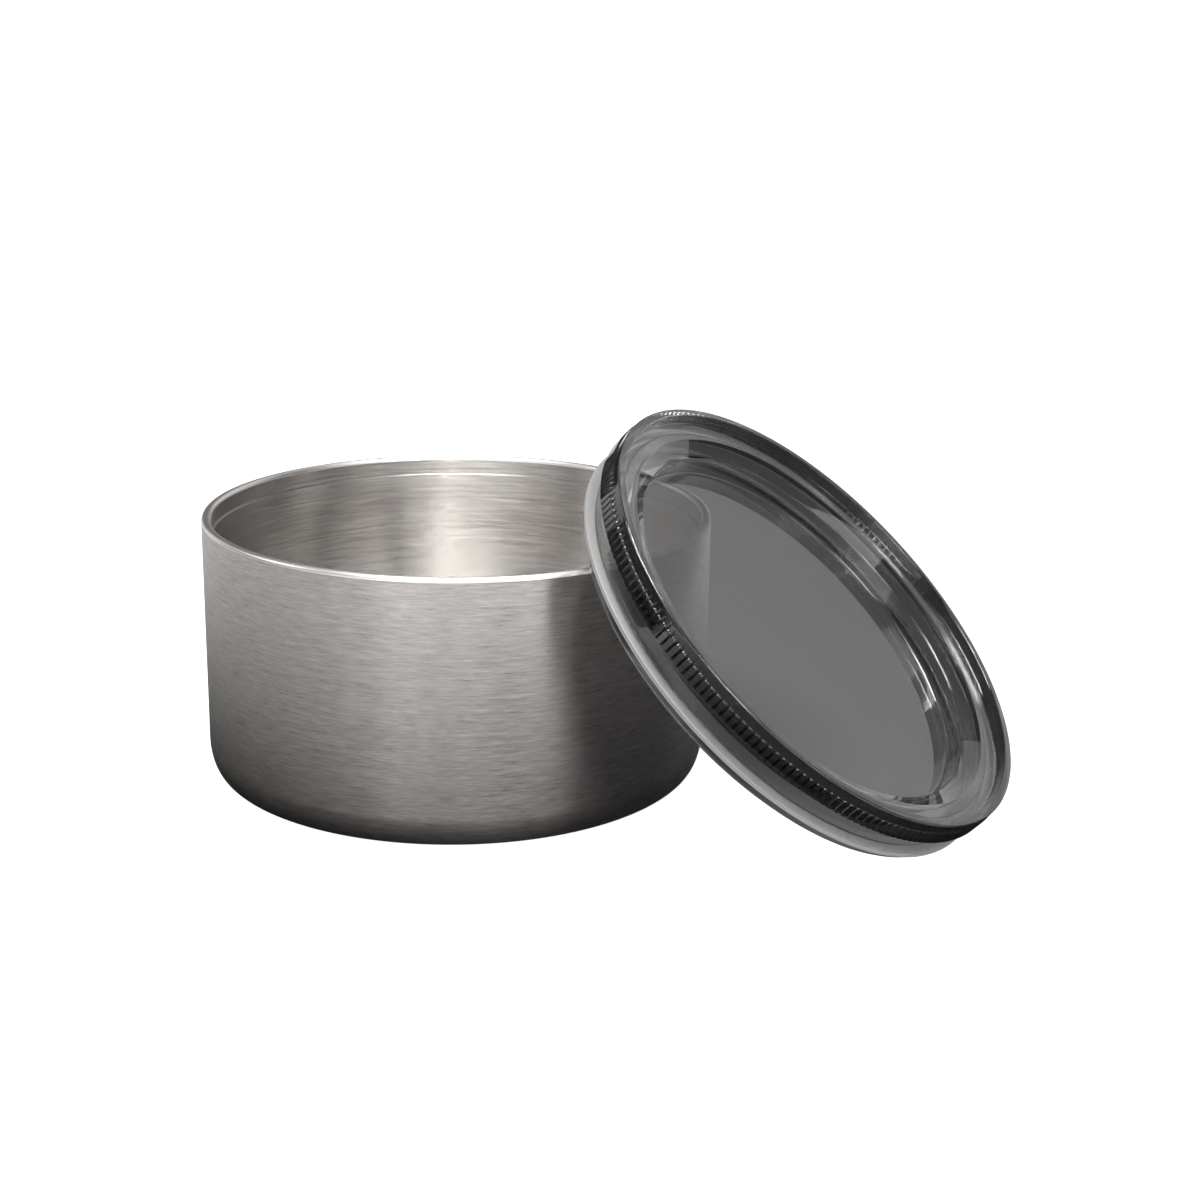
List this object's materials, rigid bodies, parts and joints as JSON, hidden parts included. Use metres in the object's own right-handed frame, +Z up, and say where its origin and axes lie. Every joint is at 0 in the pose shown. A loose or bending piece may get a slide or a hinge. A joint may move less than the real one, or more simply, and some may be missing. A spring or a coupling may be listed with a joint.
{
  "type": "food canister",
  "caption": "Shallow round stainless steel food canister with a double wall, and its smoked clear plug lid with a ribbed rim, taken off and leaning on the canister's side.",
  "frame": {"origin": "middle of the canister's base, on the surface that it stands on", "axes": "+Z up along the canister's axis, +X to the right and +Y away from the viewer of the picture"},
  "size_m": [0.1906, 0.1499, 0.0885],
  "materials": {
    "brushed_shell": "brushed round the wall",
    "satin_liner": "satin, with a polished lip",
    "plain_pan": "plain rolled",
    "braze_bead": "melted bead",
    "sintered_pill": "matt sintered",
    "brushed_cover": "brushed",
    "smoked_plastic": "smoked clear, polished",
    "pale_silicone": "smooth, pale grey"
  },
  "bodies": {
    "canister": {"outer_shell": "brushed_shell", "inner_liner": "satin_liner", "outer_bottom": "plain_pan", "vacuum_seal": "braze_bead", "getter": "sintered_pill", "base_cover": "brushed_cover"},
    "lid": {"lid_cap": "smoked_plastic", "lid_gasket": "pale_silicone"}
  },
  "joints": [
    {"name": "lid_lift", "type": "slide", "parent": "canister", "child": "lid", "axis": [0, 0, 1], "range_m": [0, 0.1]}
  ]
}
